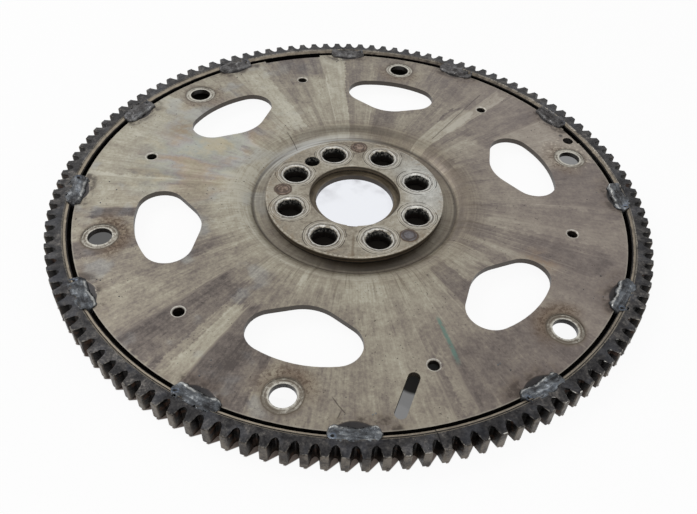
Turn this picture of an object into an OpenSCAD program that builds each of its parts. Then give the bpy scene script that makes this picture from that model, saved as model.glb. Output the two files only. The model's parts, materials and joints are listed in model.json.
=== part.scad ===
// Flexplate: a stamped steel disc between an engine's crankshaft and a torque
// converter, with a starter ring gear held round it by short welds and a
// hub plate riveted in its dished centre.
// Millimetres. The origin is on the axis, in the plane of the ring gear's
// lower face, and +Z points to the side on which the hub plate lies.

/* [Ring gear] */
// Diameter over the tooth tips, which is the size of the whole part
outer_diameter = 310; // [280:1:340]
// Number of starter teeth
tooth_count = 122; // [100:1:140]
// Angle of the middle of the first tooth, degrees
tooth_angle = 0.5; // [0:0.1:3]
// Slope of a tooth flank from the tooth's centre line, degrees
flank_angle = 13; // [10:0.5:22]
// Share of the pitch that a tooth takes up at the pitch circle
tooth_share = 0.47; // [0.42:0.01:0.54]
// Height of the ring along the axis
ring_height = 10; // [7:0.5:14]
// Flat wall between the tooth roots and the ring's inner bevel and shoulder
ring_wall = 2.9; // [2:0.1:6]
// Bevel at both ends of the tooth tips
tip_bevel = 0.6; // [0.2:0.1:1.2]
// Bevel on the upper inner edge of the ring
ring_bevel = 0.6; // [0.2:0.1:1.2]
// Width of the sloping shoulder inside that bevel, in to the ring's bore
shoulder_width = 1.8; // [0.5:0.1:2.4]
// Fall of that shoulder towards the bore
shoulder_fall = 0.9; // [0.2:0.1:1.4]

/* [Disc] */
// Sheet thickness of the stamped disc
disc_thickness = 3; // [2:0.1:4]
// Step down from the ring's upper face to the disc's upper face
disc_below_ring = 2; // [1:0.1:4]
// Depth of the dished centre below the flat annulus
dish_depth = 4.4; // [2:0.1:6]
// Flat floor of the dish that shows round the hub plate
dish_floor_margin = 6.5; // [3:0.1:10]
// Bend radius at the foot of the dish, on the upper side
dish_foot_bend = 1.2; // [0.6:0.1:6]
// Bend radius at the shoulder of the dish, on the upper side
dish_shoulder_bend = 16; // [8:0.5:18]
// Radial gap between the disc's edge and the ring gear's bore
rim_gap = 1.9; // [1:0.1:3]
// Ledge by which the disc's pilot bore is narrower than the hub plate's bore
pilot_ledge = 3.4; // [0.5:0.1:4]

/* [Windows] */
// Number of lightening windows, each in line with a converter bolt hole
window_count = 6; // [3:1:6]
// Distance from the converter bolt circle in to the end lobes' centres
window_inset = 30.6; // [28:0.1:34]
// Half the distance between the two end lobes
window_lobe_x = 14.6; // [10:0.1:18]
// Radius of an end lobe
window_lobe_r = 12; // [9:0.1:13]
// Radius of the rounded point that looks at the hub
window_apex_r = 21; // [14:0.5:24]
// Distance from the end lobes' centres in to that rounded point
window_apex_drop = 18.1; // [15:0.1:21]
// Radius of the shallow outer arc
window_outer_r = 54.5; // [40:0.5:80]

/* [Holes in the disc] */
// Number of converter bolt holes
converter_holes = 6; // [3:1:6]
// Distance from the disc's edge in to the converter bolt circle
converter_inset = 13.075; // [11:0.025:16]
// Radius of a converter bolt hole
converter_hole_r = 5.8; // [4.5:0.1:6.5]
// Angle of the first converter bolt hole, degrees
converter_angle = 14.4; // [10:0.1:18]
// Radius of the bright seat round a converter bolt hole
seat_r = 8.5; // [7.5:0.1:9.5]
// Depth of that seat
seat_depth = 0.25; // [0.1:0.05:0.6]
// Number of small holes, each half-way between two converter bolt holes
small_holes = 6; // [3:1:6]
// Distance from the converter bolt circle in to the small holes
small_hole_inset = 14.9; // [12:0.1:18]
// Radius of a small hole
small_hole_r = 2.6; // [1.5:0.1:3.5]
// Countersink at the edge of a small hole
small_hole_bevel = 0.5; // [0.2:0.1:1]
// Distance from the disc's edge in to the single hole by the rim
rim_hole_inset = 4.8; // [4.2:0.1:6]
// Radius of the single hole by the rim
rim_hole_r = 3; // [2:0.1:3.4]
// Angle of the single hole by the rim, degrees
rim_hole_angle = 20.7; // [19:0.1:22]
// Width of the slot
slot_width = 5.4; // [3.5:0.1:6]
// Distance between the two end centres of the slot
slot_length = 18.5; // [10:0.1:20]
// Distance from the disc's edge in to the slot's outer end centre
slot_inset = 7.7; // [6:0.1:10]
// Angle of the slot's outer end, degrees
slot_angle = 275.2; // [274:0.1:277]
// Turn of the slot from the radial direction, degrees
slot_turn = 28; // [15:1:35]
// Middle of the long shallow relief in the disc's edge, degrees
relief_angle = 104.4; // [103:0.1:106]
// Width of the long relief, degrees
relief_width = 14.8; // [8:0.1:16]
// Depth of the long relief
relief_depth = 2.1; // [0.5:0.1:3]
// Middle of the short relief beside the single rim hole, degrees
short_relief_angle = 22; // [21:0.1:22.5]
// Width of the short relief, degrees
short_relief_width = 6; // [3:0.1:6.5]
// Depth of the short relief
short_relief_depth = 0.7; // [0.2:0.1:1]

/* [Hub] */
// Width of the hub plate outside the crankshaft bolt holes
hub_margin = 5; // [4:0.1:8]
// Thickness of the hub plate
hub_thickness = 4; // [2.5:0.1:6]
// Width of the hub plate inside the crankshaft bolt holes
hub_inner_margin = 5.1; // [3:0.1:8]
// Bevel on the edges of the hub plate
hub_bevel = 0.4; // [0.1:0.1:0.8]
// Radius of the notch in the hub plate's bore
notch_r = 4; // [3:0.1:5]
// How far the notch reaches past the bore
notch_depth = 1.5; // [0.5:0.1:2]
// Number of crankshaft bolt holes
crank_holes = 8; // [4:1:8]
// Pitch circle diameter of the crankshaft bolt holes
crank_pcd = 71.6; // [64:0.1:80]
// Radius of a crankshaft bolt hole
crank_hole_r = 6.5; // [5:0.1:6.8]
// Angle of the first crankshaft bolt hole, degrees
crank_angle = 16.7; // [14:0.1:19]
// Countersink at the edge of a crankshaft bolt hole
crank_bevel = 0.8; // [0.3:0.1:1.2]
// Radius of the dowel hole
dowel_r = 4.2; // [3:0.1:4.6]
// Radius of a rivet
rivet_r = 4; // [3:0.1:4.2]
// Distance from the hub plate's edge in to a rivet
rivet_inset = 7.2; // [6:0.1:9]
// Height of a rivet head above the hub plate
rivet_proud = 0.3; // [0.1:0.05:0.6]

/* [Ring gear welds] */
// Number of short welds between the disc and the ring gear
weld_count = 12; // [6:1:12]
// Length of a weld along the rim
weld_length = 22; // [14:0.5:26]
// How far a weld laps over the disc
weld_on_disc = 3.1; // [2:0.1:4]
// How far a weld laps over the ring gear's upper face
weld_on_ring = 0.4; // [0.2:0.1:2]
// Height of the crown of a weld above the line between its two toes
weld_crown = 0.9; // [0.5:0.1:2]
// How far the line of the crown dips below the hollow at the inner toe
weld_bury = 0.3; // [0.1:0.1:0.6]
// How far the root of a weld stays above the disc's lower face
weld_root_lift = 0.5; // [0:0.1:1]
// How far the hollow under a weld reaches in from the disc's edge
hollow_reach = 5.5; // [4.2:0.1:7]
// Slope of the hollow, down towards the disc's edge, degrees
hollow_slope = 13; // [8:0.5:15]
// Radius of the round punch that pressed the hollow
hollow_r = 50; // [40:1:70]

/* [Hidden] */
$fn = 96;
eps = 0.01;
// A tooth stands one module above the pitch circle and 1.25 below it
tip_r = outer_diameter / 2;
gear_module = outer_diameter / (tooth_count + 2);
pitch_r = tip_r - gear_module;
root_r = pitch_r - 1.25 * gear_module;
ring_inner_r = root_r - ring_wall;
ring_bore_r = ring_inner_r - shoulder_width;
shoulder_top = ring_height - ring_bevel;
disc_r = ring_bore_r - rim_gap;
converter_r = disc_r - converter_inset;
window_lobe_y = converter_r - window_inset;
small_hole_angle = converter_angle + 180 / converter_holes;
hub_r = crank_pcd / 2 + crank_hole_r + hub_margin;
hub_bore_r = crank_pcd / 2 - crank_hole_r - hub_inner_margin;
pilot_r = hub_bore_r - pilot_ledge;
dish_floor_r = hub_r + dish_floor_margin;
disc_top = ring_height - disc_below_ring;
floor_top = disc_top - dish_depth;
floor_under = floor_top - disc_thickness;
hub_top = floor_top + hub_thickness;
bend_angle = acos(1 - dish_depth / (dish_foot_bend + dish_shoulder_bend));
shoulder_r = dish_floor_r + (dish_foot_bend + dish_shoulder_bend) * sin(bend_angle);
half_crank = 180 / crank_holes;
// The dowel hole and the rivets lie half-way between two crankshaft bolt holes
dowel_angle = crank_angle + 5 * half_crank;
rivet_angles = [crank_angle + 3 * half_crank, crank_angle + 7 * half_crank, crank_angle + 13 * half_crank];
notch_angle = crank_angle + 11 * half_crank;
// The rivets are not on one exact circle: how much farther out each one is
rivet_shift = [1.3, -1.8, 0.7];
// The welds were laid by hand, so each is a little off its even place, degrees
weld_shift = [-1.1, 0.1, -0.3, -0.6, 0, -0.4, -0.6, -1, 1.1, -2.7, 0.3, -0.9];
weld_root = disc_top - disc_thickness + weld_root_lift;

function arc(cx, cy, r, from, to, steps, first = 0) =
    [for (i = [first : steps]) let (a = from + (to - from) * i / steps) [cx + r * cos(a), cy + r * sin(a)]];

// Copies of its children, evenly spaced on a circle
module on_circle(count, radius, first) {
    for (i = [0 : count - 1]) rotate(first + i * 360 / count) translate([radius, 0, 0]) children();
}

// Copies of its children at the three rivets
module at_rivets() {
    for (i = [0 : 2]) rotate(rivet_angles[i])
        translate([hub_r - rivet_inset + rivet_shift[i], 0, 0]) children();
}

// A drill from below the part to a level, with a countersink at that level
module drill(r, level, bevel = 0) {
    translate([0, 0, -5]) cylinder(r = r, h = level + 10);
    if (bevel > 0) translate([0, 0, level - bevel]) cylinder(r1 = r, r2 = r + bevel + eps, h = bevel + eps);
}

// Section of the stamped sheet, the same thickness round both bends
module disc_section() {
    foot_z = floor_top + dish_foot_bend;
    shoulder_z = disc_top - dish_shoulder_bend;
    polygon(concat([[pilot_r, floor_top]],
        arc(dish_floor_r, foot_z, dish_foot_bend, -90, -90 + bend_angle, 6),
        arc(shoulder_r, shoulder_z, dish_shoulder_bend, 90 + bend_angle, 90, 12),
        [[disc_r, disc_top], [disc_r, disc_top - disc_thickness]],
        arc(shoulder_r, shoulder_z, dish_shoulder_bend - disc_thickness, 90, 90 + bend_angle, 12),
        arc(dish_floor_r, foot_z, dish_foot_bend + disc_thickness, -90 + bend_angle, -90, 6),
        [[pilot_r, floor_under]]));
}

// Plan of one window, with the hub towards -Y: two end lobes and a rounded
// point joined by their tangents, closed by a shallow arc that touches both lobes
module window_plan() {
    apex_y = window_lobe_y - window_apex_drop + window_apex_r;
    arc_y = window_lobe_y - sqrt(pow(window_outer_r - window_lobe_r, 2) - pow(window_lobe_x, 2));
    to_apex = [-window_lobe_x, apex_y - window_lobe_y];
    flank = atan2(to_apex[1], to_apex[0]) + acos((window_lobe_r - window_apex_r) / norm(to_apex)) - 360;
    touch = atan2(window_lobe_y - arc_y, window_lobe_x);
    half = concat(
        arc(0, apex_y, window_apex_r, -90, flank, 5),
        arc(window_lobe_x, window_lobe_y, window_lobe_r, flank, touch, 16),
        arc(0, arc_y, window_outer_r, touch, 90, 5, first = 1));
    polygon(concat(half, [for (i = [len(half) - 2 : -1 : 1]) [-half[i][0], half[i][1]]]));
}

// A bite out of the disc's edge
module rim_relief(middle, width, depth) {
    rotate(middle - width / 2) rotate_extrude(angle = width)
        translate([disc_r - depth, disc_top - disc_thickness - 1]) square([depth + 1, disc_thickness + 2]);
}

// Copies of its children at the welds
module at_welds() {
    for (i = [0 : weld_count - 1]) rotate(i * 360 / weld_count + weld_shift[i]) children();
}

// The hollow pressed into the disc's edge at a weld, as the end of a sloping round punch
module weld_hollow() {
    translate([disc_r - hollow_reach, 0, disc_top]) rotate([0, 90 + hollow_slope, 0])
        translate([-hollow_r, 0, -hollow_reach]) cylinder(r = hollow_r, h = 4 * hollow_reach, $fn = 240);
}

module flex_disc() {
    color([0.52, 0.50, 0.46]) difference() {
        rotate_extrude($fn = 180) disc_section();
        on_circle(window_count, 0, converter_angle - 90)
            translate([0, 0, -1]) linear_extrude(ring_height + 2) window_plan();
        on_circle(converter_holes, converter_r, converter_angle) {
            drill(converter_hole_r, disc_top);
            translate([0, 0, disc_top - seat_depth]) cylinder(r = seat_r, h = 2);
        }
        on_circle(small_holes, converter_r - small_hole_inset, small_hole_angle)
            drill(small_hole_r, disc_top, small_hole_bevel);
        rotate(rim_hole_angle) translate([disc_r - rim_hole_inset, 0, 0]) drill(rim_hole_r, disc_top);
        rotate(slot_angle) translate([disc_r - slot_inset, 0, 0]) rotate(180 - slot_turn) {
            drill(slot_width / 2, disc_top);
            translate([slot_length, 0, 0]) drill(slot_width / 2, disc_top);
            translate([0, -slot_width / 2, -1]) cube([slot_length, slot_width, ring_height + 2]);
        }
        at_welds() weld_hollow();
        rim_relief(relief_angle, relief_width, relief_depth);
        rim_relief(short_relief_angle, short_relief_width, short_relief_depth);
        on_circle(crank_holes, crank_pcd / 2, crank_angle) drill(crank_hole_r, floor_top);
        rotate(dowel_angle) translate([crank_pcd / 2, 0, 0]) drill(dowel_r, floor_top);
        at_rivets() drill(rivet_r, floor_top);
    }
}

module hub_plate() {
    b = hub_bevel;
    color([0.66, 0.64, 0.60]) difference() {
        rotate_extrude($fn = 180) polygon([
            [hub_bore_r + b, floor_top], [hub_r - b, floor_top],
            [hub_r, floor_top + b], [hub_r, hub_top - b],
            [hub_r - b, hub_top], [hub_bore_r + b, hub_top],
            [hub_bore_r, hub_top - b], [hub_bore_r, floor_top + b]]);
        on_circle(crank_holes, crank_pcd / 2, crank_angle) drill(crank_hole_r, hub_top, crank_bevel);
        rotate(dowel_angle) translate([crank_pcd / 2, 0, 0]) drill(dowel_r, hub_top);
        at_rivets() drill(rivet_r, hub_top);
        rotate(notch_angle) translate([hub_bore_r + notch_depth - notch_r, 0, 0]) drill(notch_r, hub_top);
    }
}

module hub_rivets() {
    head = hub_top + rivet_proud;
    color([0.42, 0.33, 0.28]) at_rivets() rotate_extrude($fn = 48) polygon([
        [0, floor_under], [rivet_r, floor_under], [rivet_r, hub_top],
        [rivet_r - rivet_proud, head], [0, head]]);
}

// One tooth space, cut from the ring's rim
module tooth_space() {
    pitch = 360 / tooth_count;
    half = pitch_r * sin(pitch * (1 - tooth_share) / 2);
    spread = tan(flank_angle + pitch / 2);
    deep = max(half - (pitch_r - root_r) * spread, 0.3);
    polygon([[root_r, -deep], [tip_r + 1, -half - (tip_r + 1 - pitch_r) * spread],
        [tip_r + 1, half + (tip_r + 1 - pitch_r) * spread], [root_r, deep]]);
}

module ring_gear() {
    color([0.25, 0.24, 0.24]) intersection() {
        linear_extrude(ring_height) difference() {
            circle(r = tip_r, $fn = 360);
            circle(r = ring_bore_r, $fn = 360);
            for (i = [0 : tooth_count - 1]) rotate(tooth_angle + (i + 0.5) * 360 / tooth_count) tooth_space();
        }
        rotate_extrude($fn = 360) polygon([
            [ring_bore_r - 1, -1], [tip_r - tip_bevel, -1], [tip_r - tip_bevel, 0],
            [tip_r + eps, tip_bevel], [tip_r + eps, ring_height - tip_bevel],
            [tip_r - tip_bevel, ring_height], [ring_inner_r + ring_bevel, ring_height],
            [ring_inner_r, shoulder_top],
            [ring_bore_r - 1, shoulder_top - shoulder_fall * (1 + 1 / shoulder_width)]]);
    }
}

// One weld with rounded ends: it fills the gap and laps over the hollow and the ring.
// Its crown runs a little below the hollow at the inner toe, so that the two cross cleanly
module weld_bead() {
    outer_toe = ring_inner_r + ring_bevel + weld_on_ring;
    inner_toe = disc_r - weld_on_disc;
    toe_z = disc_top - (hollow_reach - weld_on_disc) * tan(hollow_slope) - weld_bury;
    mid = (outer_toe + inner_toe) / 2;
    end_r = (outer_toe - inner_toe) / 2;
    straight = weld_length - 2 * end_r;
    sweep = 2 * asin(weld_length / 2 / inner_toe) + 2;
    tall = ring_height + 8;
    crown = [for (i = [0 : 10]) let (s = i / 10)
        [outer_toe + s * (inner_toe - outer_toe),
         ring_height + s * (toe_z - ring_height) + weld_crown * 4 * s * (1 - s)]];
    intersection() {
        rotate(-sweep / 2) rotate_extrude(angle = sweep) polygon(concat(
            [[inner_toe, weld_root], [ring_bore_r, weld_root], [ring_bore_r, shoulder_top - shoulder_fall],
             [ring_inner_r, shoulder_top], [ring_inner_r + ring_bevel, ring_height]], crown));
        translate([mid, 0, -1]) union() {
            for (s = [-1, 1]) translate([0, s * straight / 2, 0]) cylinder(r = end_r, h = tall);
            translate([-end_r, -straight / 2, 0]) cube([2 * end_r, straight, tall]);
        }
        union() {
            weld_hollow();
            rotate(-sweep) rotate_extrude(angle = 2 * sweep) translate([disc_r, 0]) square([2 * end_r, tall]);
        }
    }
}

module ring_gear_welds() {
    color([0.33, 0.35, 0.38]) at_welds() weld_bead();
}

flex_disc();
hub_plate();
hub_rivets();
ring_gear();
ring_gear_welds();
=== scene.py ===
# %% [markdown]
# # A used flexplate
# A flexplate is the thin steel disc between an engine and its torque converter. The solids of
# this part come from CAD and are loaded as a fixed frame. This lesson gives them their looks:
# wiped and stained sheet steel, a dark oily ring gear, hand-laid welds and rusty rivets.

import json
from collections import namedtuple
from math import atan2, cos, exp, hypot, pi, radians, sin, tan

import bpy
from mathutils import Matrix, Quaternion, Vector


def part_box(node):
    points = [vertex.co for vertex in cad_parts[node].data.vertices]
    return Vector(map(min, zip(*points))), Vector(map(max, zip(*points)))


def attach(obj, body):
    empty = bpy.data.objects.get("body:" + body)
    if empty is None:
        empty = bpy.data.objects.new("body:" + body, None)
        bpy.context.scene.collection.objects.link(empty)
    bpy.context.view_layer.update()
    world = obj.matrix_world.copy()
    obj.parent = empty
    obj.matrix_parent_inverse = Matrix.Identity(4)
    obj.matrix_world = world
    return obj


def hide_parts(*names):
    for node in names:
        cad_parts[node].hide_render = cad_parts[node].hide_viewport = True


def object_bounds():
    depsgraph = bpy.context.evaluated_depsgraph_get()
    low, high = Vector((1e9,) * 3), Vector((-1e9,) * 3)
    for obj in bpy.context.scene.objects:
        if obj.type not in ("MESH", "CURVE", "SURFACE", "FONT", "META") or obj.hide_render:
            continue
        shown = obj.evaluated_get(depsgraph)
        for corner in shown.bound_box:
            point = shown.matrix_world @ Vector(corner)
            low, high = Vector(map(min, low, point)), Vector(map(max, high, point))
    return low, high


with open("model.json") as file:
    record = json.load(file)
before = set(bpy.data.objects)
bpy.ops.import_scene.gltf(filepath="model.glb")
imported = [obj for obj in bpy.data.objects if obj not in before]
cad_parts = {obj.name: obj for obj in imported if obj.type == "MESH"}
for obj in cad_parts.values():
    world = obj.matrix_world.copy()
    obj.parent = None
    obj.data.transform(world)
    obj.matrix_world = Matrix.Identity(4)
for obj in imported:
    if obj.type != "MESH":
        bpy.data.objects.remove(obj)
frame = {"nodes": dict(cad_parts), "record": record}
cad_box = [[float(c) for c in corner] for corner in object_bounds()]
MM = 0.001
mounts = {m["name"]: m["dims"] for m in frame["record"]["mounts"]}
print("CAD nodes:", sorted(frame["nodes"]))

# %% [markdown]
# ## The camera
# The picture was taken from above the near edge. Fitting the circles of the part to it gave the
# place of the lens, the direction it looks in and a small roll. A camera that looks along a
# direction is made with to_track_quat, and the roll is one more turn about its own axis.

# %% Camera
EYE = Vector((-23.5, -287.6, 254.7)) * MM
AIM_AZIMUTH, AIM_DROP, ROLL = 83.39, 44.67, 4.54
PICTURE_WIDTH, FOCAL_PIXELS = 697, 711.7
SHIFT_X, SHIFT_Y = -0.0298, -0.0154

lens = bpy.data.cameras.new("photo_camera")
lens.lens = FOCAL_PIXELS * lens.sensor_width / PICTURE_WIDTH
lens.shift_x, lens.shift_y = SHIFT_X, SHIFT_Y
camera = bpy.data.objects.new("photo_camera", lens)
bpy.context.collection.objects.link(camera)
aim = Vector((cos(radians(AIM_AZIMUTH)), sin(radians(AIM_AZIMUTH)), -tan(radians(AIM_DROP))))
camera.location = EYE
camera.rotation_mode = "QUATERNION"
camera.rotation_quaternion = aim.to_track_quat("-Z", "Y") @ Quaternion((0, 0, 1), radians(ROLL))
bpy.context.scene.camera = camera
print("camera lens", round(lens.lens, 2), "mm")

# %% [markdown]
# ## Writing nodes as sums
# A material is a tree of nodes, and a long tree is hard to read as node calls. Here one small
# class holds a socket, and plus, minus, times and so on add the Math nodes. The same class
# serves geometry trees, because they share the Math and noise nodes.

# %% One socket that can be added and multiplied


class Wire:
    """One output socket of a node tree, for use in plain expressions."""

    def __init__(self, tree, socket=None):
        self.tree, self.socket = tree, socket

    def node(self, kind, settings=None, sockets=None, out=0):
        """Adds a node: its settings first, then the values or links of its sockets."""
        made = self.tree.nodes.new(kind)
        for name, value in (settings or {}).items():
            setattr(made, name, value)
        for key, value in (sockets or {}).items():
            if isinstance(value, Wire):
                self.tree.links.new(value.socket, made.inputs[key])
            else:
                made.inputs[key].default_value = value
        return Wire(self.tree, made.outputs[out])

    def also(self, out):
        """Another output of the same node."""
        return Wire(self.tree, self.socket.node.outputs[out])

    def math(self, operation, *values):
        return self.node("ShaderNodeMath", {"operation": operation}, dict(enumerate((self,) + values)))

    def root(self):
        return self.math("SQRT")

    def fraction(self):
        return self.math("FRACT")

    def larger(self, other):
        return self.math("MAXIMUM", other)

    def smaller(self, other):
        return self.math("MINIMUM", other)

    def wrapped(self):
        """An angle in degrees, brought back between -180 and 180."""
        return self.math("WRAP", 180, -180)

    def between(self, low, high):
        """0 at low and 1 at high, with a soft step from one to the other."""
        return self.node("ShaderNodeMapRange", {"interpolation_type": "SMOOTHSTEP"},
                         {"Value": self, "From Min": low, "From Max": high})

    def near(self, middle, width):
        """1 at the middle, falling to 0 at a distance of width on both sides."""
        return abs(self - middle).between(width, 0)

    def mix(self, under, over):
        """The colour over where this value is 1, and the colour under where it is 0."""
        return self.node("ShaderNodeMix", {"data_type": "RGBA"}, {0: self, 6: under, 7: over}, out=2)

    def ramp(self, *stops):
        """A colour for this value, from stops of a position and a colour."""
        made = self.node("ShaderNodeValToRGB", None, {0: self})
        elements = made.socket.node.color_ramp.elements
        while len(elements) < len(stops):
            elements.new(1.0)
        for element, (position, colour) in zip(elements, stops):
            element.position, element.color = position, colour
        return made

    def __add__(self, other):
        return self.math("ADD", other)

    def __radd__(self, other):
        return self.math("ADD", other)

    def __sub__(self, other):
        return self.math("SUBTRACT", other)

    def __rsub__(self, other):
        return self.node("ShaderNodeMath", {"operation": "SUBTRACT"}, {0: other, 1: self})

    def __mul__(self, other):
        return self.math("MULTIPLY", other)

    def __truediv__(self, other):
        return self.math("DIVIDE", other)

    def __abs__(self):
        return self.math("ABSOLUTE")


def srgb(red, green, blue):
    """A colour as a picture shows it, 0 to 255, in the linear light that shaders use."""
    steps = (red / 255, green / 255, blue / 255)
    return tuple(c / 12.92 if c < 0.04045 else ((c + 0.055) / 1.055) ** 2.4 for c in steps) + (1.0,)


# %% [markdown]
# ## Where a point of the part is
# Almost every mark on a flexplate belongs to a circle about its axis: wipe marks run along the
# radius, and wear lies round the bolt holes. So each finish starts from the same few values in
# millimetres: the place, the distance from the axis, the direction and the angle. The last one,
# upright, is 1 on level faces and 0 on walls.

# %% Places round the axis
Spot = namedtuple("Spot", "mm x y z r ux uy degrees upright")


def begin_finish(name):
    """A new material with its Principled shader and the places of its points."""
    material = bpy.data.materials.new(name)
    material.use_nodes = True
    tree = material.node_tree
    shader = tree.nodes["Principled BSDF"]
    start = Wire(tree)
    place = start.node("ShaderNodeTexCoord", out="Object")
    mm = start.node("ShaderNodeVectorMath", {"operation": "SCALE"}, {0: place, "Scale": 1 / MM})
    x = start.node("ShaderNodeSeparateXYZ", None, {0: mm})
    y, z = x.also(1), x.also(2)
    r = (x * x + y * y).root()
    degrees = y.math("ARCTAN2", x) * (180 / pi)
    normal = start.node("ShaderNodeNewGeometry", out="Normal")
    upright = abs(start.node("ShaderNodeSeparateXYZ", None, {0: normal}, out=2))
    return material, shader, Spot(mm, x, y, z, r, x / r, y / r, degrees, upright)


def noise(vector, scale, detail=2.0, rough=0.5):
    """Cloudy noise about 0.5; a larger scale makes smaller clouds."""
    return vector.node("ShaderNodeTexNoise", None,
                       {"Vector": vector, "Scale": scale, "Detail": detail, "Roughness": rough})


def ray_noise(at, lines, along, detail=2.0, seed=0.0):
    """Noise drawn out along the radius; along says how fast it changes for each millimetre."""
    drawn = at.r.node("ShaderNodeCombineXYZ", None,
                      {0: at.ux * lines, 1: at.uy * lines, 2: at.r * along + seed})
    return noise(drawn, 1.0, detail)


def away_from(at, x, y):
    """Distance to one place, in plan."""
    dx, dy = at.x - x, at.y - y
    return (dx * dx + dy * dy).root()


def from_hole(at, count, circle_r, first):
    """Distance to the nearest of a circle of holes, and how far outward and across that is."""
    pitch = 360 / count
    off = (((at.degrees - first) / pitch + 0.5).fraction() - 0.5) * radians(pitch)
    outward = at.r * off.math("COSINE") - circle_r
    across = at.r * off.math("SINE")
    return (outward * outward + across * across).root(), outward, across


def set_shader(shader, values, height=None, depth=0.2):
    """Joins colours and values to the shader, and a height in millimetres through a Bump node."""
    wire = next(v for v in values.values() if isinstance(v, Wire))
    if height is not None:
        values = dict(values, Normal=wire.node("ShaderNodeBump", None, {
            "Strength": 1.0, "Distance": depth * MM, "Height": height}))
    for name, value in values.items():
        if isinstance(value, Wire):
            wire.tree.links.new(value.socket, shader.inputs[name])
        else:
            shader.inputs[name].default_value = value


def dress(node, finish):
    """Gives a CAD solid its finish."""
    solid = frame["nodes"][node]
    solid.data.materials.clear()
    solid.data.materials.append(finish)
    print(finish.name, "has", len(finish.node_tree.nodes), "nodes")


# %% [markdown]
# ## Floor, backdrop and light
# The part lies on a white table. The floor is a pale matt sheet that keeps the shadow, lifted to
# white for the camera and for reflections by Light Path. Far away it is a little darker. Under
# the disc the gap to the table is only a few millimetres, so there the sheet is painted dark as
# painted shade, with painted light where light would fall through the windows, the bore and some
# of the holes. Beside each tooth a small slanted shadow is painted, and the floor seen through
# the bore has painted shade in clouds towards its far side.

# %% Floor
FLOOR_SIZE = 6.0
FLOOR_DROP = 0.1 * MM
OPEN_LEVEL, WHITE_REACH = 0.93, 1000
# Painted light and painted shade on the table under holes: x, y and radius in millimetres, and
# how bright they look
HOLE_LIGHT = [(131, 43, 9, 0.24), (94, -86, 9, 0.93), (-35, -120, 9, 0.93)]
HOLE_SHADE = [(-129, -24, 8, 0.11), (14, -125, 16, 0.18), (10, -133, 8, 0.21), (22, -110, 10, 0.01)]
WINDOW_STEP, FIRST_WINDOW = 60, 14.4
TEETH, FIRST_TOOTH = 122, 0.5


def seen_directly(tree):
    """1 for the camera, for reflections and through glass, and 0 for soft light."""
    path = Wire(tree).node("ShaderNodeLightPath", out="Is Camera Ray")
    return path.larger(path.also("Is Glossy Ray")).larger(path.also("Is Transmission Ray"))


floor_mesh = bpy.data.meshes.new("floor")
half = FLOOR_SIZE / 2
corners = [(x * half, y * half, -FLOOR_DROP) for x, y in ((-1, -1), (1, -1), (1, 1), (-1, 1))]
floor_mesh.from_pydata(corners, [], [(0, 1, 2, 3)])
floor = bpy.data.objects.new("floor", floor_mesh)
bpy.context.collection.objects.link(floor)

material, shader, at = begin_finish("white_table")
# Painted light on the table under the windows.
to_window = abs(((at.degrees - FIRST_WINDOW) / WINDOW_STEP + 0.5).fraction() - 0.5) * WINDOW_STEP
window_light = to_window.between(24, 22) * at.r.between(66, 70) * at.r.between(127, 125.5)
# Beside each tooth the table is white only past a slanted line; short of it is a painted tooth shadow.
phase = ((at.degrees - FIRST_TOOTH) / (360 / TEETH)).fraction()
beside_teeth = (at.r + (phase - 0.17) * 7.4).between(154.6, 155.2).larger(at.r.between(155, 155.4))
open_floor = beside_teeth.larger(window_light).larger(at.r.between(25, 22))
lit, clear = open_floor * OPEN_LEVEL, open_floor * at.r.between(WHITE_REACH + 1, WHITE_REACH)
for x, y, radius, level in HOLE_LIGHT:
    lit = lit.larger(away_from(at, x, y).between(radius + 1.5, radius - 1.5) * level)
for x, y, radius, level in HOLE_SHADE:
    inside = away_from(at, x, y).between(radius + 1.5, radius - 0.5)
    lit = lit * (1 - inside) + inside * level
    clear = clear * (1 - inside)
# The painted shade colour: near black under the disc, duller beside the teeth.
shade = at.r.between(147, 148).mix(srgb(40, 37, 34), srgb(168, 154, 146))
colour = clear.mix(shade, srgb(250, 250, 250))
set_shader(shader, {"Base Color": colour, "Roughness": 0.9, "Specular IOR Level": 0.0})
# Painted shade in clouds on the floor seen through the bore, towards its far side.
bore_far_shade = noise(at.mm, 0.07, 3.0).between(0.45, 0.75) * (at.y + at.r * 0.4).between(0, 30)
tint = at.r.between(25, 22).mix((1, 1, 1, 1), bore_far_shade.mix(srgb(238, 240, 245), srgb(186, 186, 190)))
white = lit.node("ShaderNodeEmission", None, {"Color": tint, "Strength": 1.0})
surface = white.node("ShaderNodeMixShader", None, {
    0: seen_directly(white.tree) * lit, 1: Wire(white.tree, shader.outputs[0]), 2: white})
white.tree.links.new(surface.socket, white.tree.nodes["Material Output"].inputs["Surface"])
floor_mesh.materials.append(material)
print("floor with", len(HOLE_LIGHT), "lit holes and", len(HOLE_SHADE), "shaded ones")

# %% World and lamps
AMBIENT = 0.5

world = bpy.data.worlds.new("studio")
world.use_nodes = True
bpy.context.scene.world = world
backdrop = world.node_tree.nodes["Background"]
backdrop.inputs["Color"].default_value = (1, 1, 1, 1)
strength = AMBIENT + seen_directly(world.node_tree) * (1 - AMBIENT)
world.node_tree.links.new(strength.socket, backdrop.inputs["Strength"])
bpy.context.scene.view_settings.view_transform = "Standard"


def soft_lamp(name, place, watts, size):
    """A square area lamp that looks at the middle of the part."""
    light = bpy.data.lights.new(name, "AREA")
    light.energy, light.size = watts, size
    lamp = bpy.data.objects.new(name, light)
    lamp.location = place
    lamp.rotation_euler = (-Vector(place)).to_track_quat("-Z", "Y").to_euler()
    bpy.context.collection.objects.link(lamp)


soft_lamp("window_lamp", (-0.80, 0.50, 0.95), 4.6, 0.6)
soft_lamp("fill_lamp", (0.25, -0.75, 1.0), 2.0, 0.6)
print("lamps:", [o.name for o in bpy.data.objects if o.type == "LIGHT"])
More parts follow.
